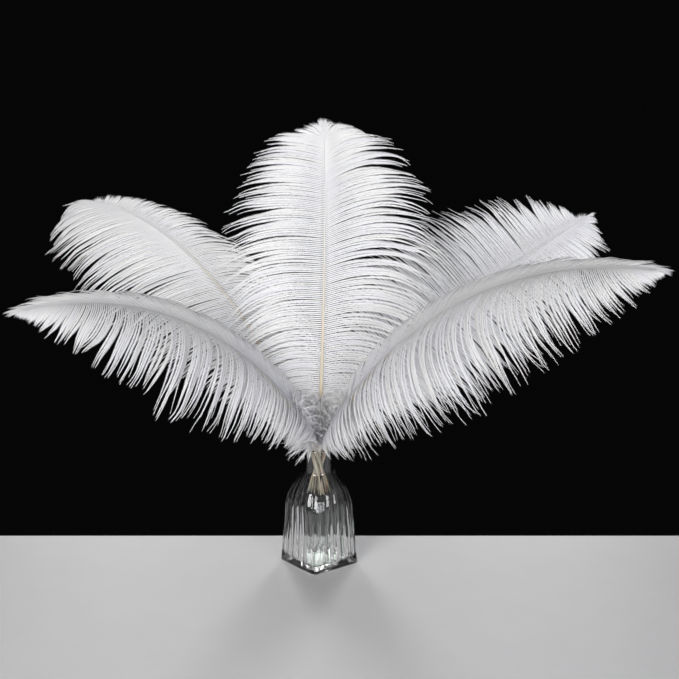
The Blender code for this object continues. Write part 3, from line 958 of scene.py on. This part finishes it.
def build_plume(plume, seed):
    rng = np.random.default_rng(seed)
    shaft = Shaft(plume)
    seeds = plume_seeds(plume, shaft, rng)
    horn = grown(shaft_line(plume, shaft), SHAFT_TREE,
                 {"Sides": SHAFT_SIDES, "Groove": GROOVE, "Material": SHAFT})
    common = {"Steps": STEPS, "Seed": seed, "Sway": SWAY, "Barbule Pair": PAIR, "Material": BARBS}
    down = grown(seed_mesh("down_seeds", down_seeds(plume, shaft, rng)), STRANDS, common | DOWN_LOOK | {
        "UV Start": DOWN_MAP[0], "UV Width": DOWN_MAP[1] / DOWN_COUNT})
    left = TRIANGLES_PER_PLUME - triangle_count(horn) - triangle_count(down)
    pairs = left / 2 - len(seeds) * 2 * (STEPS - 1)  # a pair is 2 triangles, a ribbon 4 to a step
    spacing = sum(entry["length"] for entry in seeds) / pairs
    vanes = grown(seed_mesh("seeds", seeds), STRANDS, common | VANE_LOOK | {
        **{name: size * plume.loose for name, size in LOOSENESS.items()}, "Barbule Spacing": spacing,
        "UV Start": VANE_MAP[0], "UV Width": VANE_MAP[1] / len(seeds)})
    piece = joined("plume_" + plume.name, [vanes, down, horn])
    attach(piece, "root")
    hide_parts("feather_" + plume.name)
    print(piece.name, len(seeds), "barbs,", triangle_count(piece.data), "triangles, barbules every",
          round(spacing / MM, 2), "mm")


for seed, plume in enumerate(PLUMES, FIRST_SEED):
    build_plume(plume, seed)
bpy.data.objects.remove(PAIR)

# %% [markdown]
# ## The vase
# The vase was pressed in a mould: a square foot, sides that taper up under a band of hollow flutes with
# sharp ribs between them, shoulders that gather into a plain round neck, and a heavy floor. Its section
# is a superellipse whose power slides from nearly square to round on the way up. Rings of that section
# are stacked up the outside, over the rim and down the cavity, and skinned.

# %% The vase's sizes
VASE_TURN = math.radians(38)  # the square foot stands with a corner towards the viewer
FOOT_REACH = 33.9 * MM  # half the diagonal of the square foot
BODY_REACH = 29.6 * MM  # at the top of the tapering body
NECK_RADIUS = 13.1 * MM
BODY_TOP = 50 * MM
NECK_BOTTOM = 84 * MM
RIM_HEIGHT = 105 * MM
SHOULDER_FULLNESS = 1.8
ROUNDING_POWER = 2.2  # how late the square section turns round on its way up
FOOT_SQUARENESS = 0.05  # 1 over the power of the superellipse, 0.5 is a circle
ROUND = 0.5
INNER_ROUNDING = 0.08  # the cavity's corners are rounder than the outside
FLUTES_PER_SIDE = 6
POINTS_PER_FLUTE = 8
FLUTE_DEPTH = 1.1 * MM
FLUTE_START = 5 * MM
FLUTE_RUN_IN = 2.5 * MM  # over which a flute reaches its depth
FLUTE_DEPTH_AT_NECK = 0.25
WALL = 2.6 * MM
NECK_WALL = 2.1 * MM
FLOOR_HEIGHT = 6 * MM
FLOOR_FILLET = 3 * MM
FOOT_ROUNDING = 1.4 * MM
UNDERSIDE = ((14, 1.1), (6, 0.9), (2.5, 0.5), (1, 0.15))  # mm inwards and up, it stands on its edge
RIM_ROUNDING = 1.0 * MM
RING_STEP = 1.5 * MM
ROUNDING_STEPS = 4
SHARP_FROM = math.radians(30)  # steeper folds than this show as edges
print("vase in mm:", round(RIM_HEIGHT / MM), "high, foot", round(FOOT_REACH * math.sqrt(2) / MM), "wide")


# %% The vase's section at a height
def corner_reach(height):
    """Distance from the axis to the corner of the outer section."""
    if height <= BODY_TOP:
        return FOOT_REACH + (BODY_REACH - FOOT_REACH) * height / BODY_TOP
    share = min((height - BODY_TOP) / (NECK_BOTTOM - BODY_TOP), 1)
    return NECK_RADIUS + (BODY_REACH - NECK_RADIUS) * (1 - share ** SHOULDER_FULLNESS)


def flute_depth_at(height):
    if height >= NECK_BOTTOM:
        return 0.0
    start = smooth_step(height, FLUTE_START, FLUTE_START + FLUTE_RUN_IN)
    left = 1 - smooth_step(height, BODY_TOP, NECK_BOTTOM)
    return FLUTE_DEPTH * start * (FLUTE_DEPTH_AT_NECK + (1 - FLUTE_DEPTH_AT_NECK) * left)


def section(height, reach, flute_depth=0.0, rounder=0.0):
    """A closed ring of the vase: square at the foot, round at the neck."""
    share = min(height / NECK_BOTTOM, 1) ** ROUNDING_POWER
    inverse_power = FOOT_SQUARENESS + rounder + (ROUND - FOOT_SQUARENESS - rounder) * share
    power = 1 / inverse_power
    half_side = reach / 2 ** (0.5 - inverse_power)
    per_side = FLUTES_PER_SIDE * POINTS_PER_FLUTE
    ring = []
    for side in range(4):
        for k in range(per_side):
            fraction = k / per_side
            square_angle = math.atan(2 * fraction - 1)
            round_angle = (fraction - 0.5) * math.pi / 2
            angle = square_angle + (round_angle - square_angle) * share
            radius = half_side / (math.cos(angle) ** power + abs(math.sin(angle)) ** power) ** (1 / power)
            radius -= flute_depth * abs(math.sin(FLUTES_PER_SIDE * math.pi * fraction))
            around = angle + side * math.pi / 2 + VASE_TURN
            ring.append((radius * math.cos(around), radius * math.sin(around), height))
    return ring


# %% Rings up the outside and down the cavity
def steps_between(low, high):
    return np.linspace(low, high, max(2, round(abs(high - low) / RING_STEP) + 1))


def quarter_round(radius):
    """(inset, rise) pairs along a rounded edge, from the wall over to the flat."""
    turns = [k / ROUNDING_STEPS * math.pi / 2 for k in range(ROUNDING_STEPS + 1)]
    return [(radius * (1 - math.cos(turn)), radius * math.sin(turn)) for turn in turns]


def outer_rings():
    rings = [section(rise * MM, corner_reach(0) - FOOT_ROUNDING - inset * MM) for inset, rise in UNDERSIDE]
    rings += [section(FOOT_ROUNDING - rise, corner_reach(0) - inset)
              for inset, rise in reversed(quarter_round(FOOT_ROUNDING))]
    for height in steps_between(FOOT_ROUNDING, RIM_HEIGHT - RIM_ROUNDING)[1:]:
        rings.append(section(height, corner_reach(height), flute_depth_at(height)))
    for inset, rise in quarter_round(RIM_ROUNDING)[1:]:
        rings.append(section(RIM_HEIGHT - RIM_ROUNDING + rise, NECK_RADIUS - inset))
    return rings


def inner_rings():
    inside_neck = NECK_RADIUS - NECK_WALL
    rings = [section(RIM_HEIGHT - RIM_ROUNDING + rise, inside_neck + inset)
             for inset, rise in reversed(quarter_round(RIM_ROUNDING))]
    for height in steps_between(RIM_HEIGHT - RIM_ROUNDING, FLOOR_HEIGHT + FLOOR_FILLET)[1:]:
        reach = max(corner_reach(height) - WALL, inside_neck)
        rings.append(section(height, reach, rounder=INNER_ROUNDING))
    for inset, drop in quarter_round(FLOOR_FILLET)[1:]:
        height = FLOOR_HEIGHT + FLOOR_FILLET - drop
        rings.append(section(height, corner_reach(height) - WALL - inset, rounder=INNER_ROUNDING))
    return rings


# %% Skin the rings
def build_vase():
    rings = outer_rings() + inner_rings()
    count = len(rings[0])
    faces = []
    for row in range(len(rings) - 1):
        for k in range(count):
            here, after = row * count + k, row * count + (k + 1) % count
            faces.append((here, after, after + count, here + count))
    points = [point for ring in rings for point in ring]
    for row, order in ((0, -1), (len(rings) - 1, 1)):
        centre = len(points)
        points.append((0.0, 0.0, rings[row][0][2]))
        for k in range(count):
            pair = (row * count + k, row * count + (k + 1) % count)
            faces.append((centre, *pair[::order]))
    mesh = bpy.data.meshes.new("fluted_vase")
    mesh.from_pydata(points, [], faces)
    mesh.materials.append(GLASS)
    mesh.shade_smooth()
    mesh.set_sharp_from_angle(angle=SHARP_FROM)
    return new_object("fluted_vase", mesh)


vase = build_vase()
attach(vase, "root")
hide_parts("vase")
print(vase.name, triangle_count(vase.data), "triangles")

# %% [markdown]
# ## Floor and light
# White plumes and clear glass both show best before a dark wall, so the pale table ends a little way
# behind the vase. A large soft light in front gives the plumes their even white, a second one from the
# other side fills the shade with a cooler tone, and two from behind draw bright lines along the glass's
# ribs and the ends of the barbs.

# %% Floor
FLOOR_BACK = 0.06  # where the table ends behind the vase
FLOOR_FRONT = -0.5
FLOOR_SIDE = 0.6
FLOOR_GRAIN = 40 * MM
FLOOR_TONES = ((0.6, 0.6, 0.61), (0.64, 0.64, 0.65))
WALL_TONE = (0.002, 0.002, 0.002, 1.0)


def build_floor():
    mesh = bpy.data.meshes.new("floor")
    corners = [(-FLOOR_SIDE, FLOOR_FRONT), (FLOOR_SIDE, FLOOR_FRONT),
               (FLOOR_SIDE, FLOOR_BACK), (-FLOOR_SIDE, FLOOR_BACK)]
    mesh.from_pydata([(x, y, 0.0) for x, y in corners], [], [(0, 1, 2, 3)])
    material, nodes = new_material("pale_floor")
    grain = nodes.noise(nodes.here(), FLOOR_GRAIN)
    finish_material(nodes, nodes.add("ShaderNodeBsdfPrincipled", {},
                                     {"Base Color": nodes.mix(grain, *FLOOR_TONES), "Roughness": 0.6}))
    mesh.materials.append(material)
    new_object("floor", mesh)


build_floor()
print("the floor ends", round(FLOOR_BACK / MM), "mm behind the vase")

# %% Lights and surroundings
HEART = Vector((0.0, 0.0, 0.22))  # the middle of the plumes
LIGHTS = [  # name, place, size, watts, colour
    ("key", (-0.7, -1.5, 0.7), 0.75, 25.0, (1.0, 0.99, 0.98)),
    ("fill", (0.8, -1.5, 0.3), 0.75, 18.5, (0.95, 0.96, 1.0)),
    ("rim_left", (-0.4, 1.3, 0.55), 0.35, 7.0, (1.0, 1.0, 1.0)),
    ("rim_right", (0.4, 1.3, 0.55), 0.35, 7.0, (1.0, 1.0, 1.0)),
]

for name, place, size, watts, color in LIGHTS:
    lamp = bpy.data.lights.new(name, "AREA")
    lamp.size, lamp.energy, lamp.color = size, watts, color
    light = new_object(name, lamp)
    light.location = place
    aim_at(light, HEART)
    light.visible_camera = False

world = bpy.data.worlds.new("dark_studio")
world.use_nodes = True
world.node_tree.nodes["Background"].inputs["Color"].default_value = WALL_TONE
bpy.context.scene.world = world
bpy.context.scene.view_settings.view_transform = "Standard"
print("lights:", [entry[0] for entry in LIGHTS])
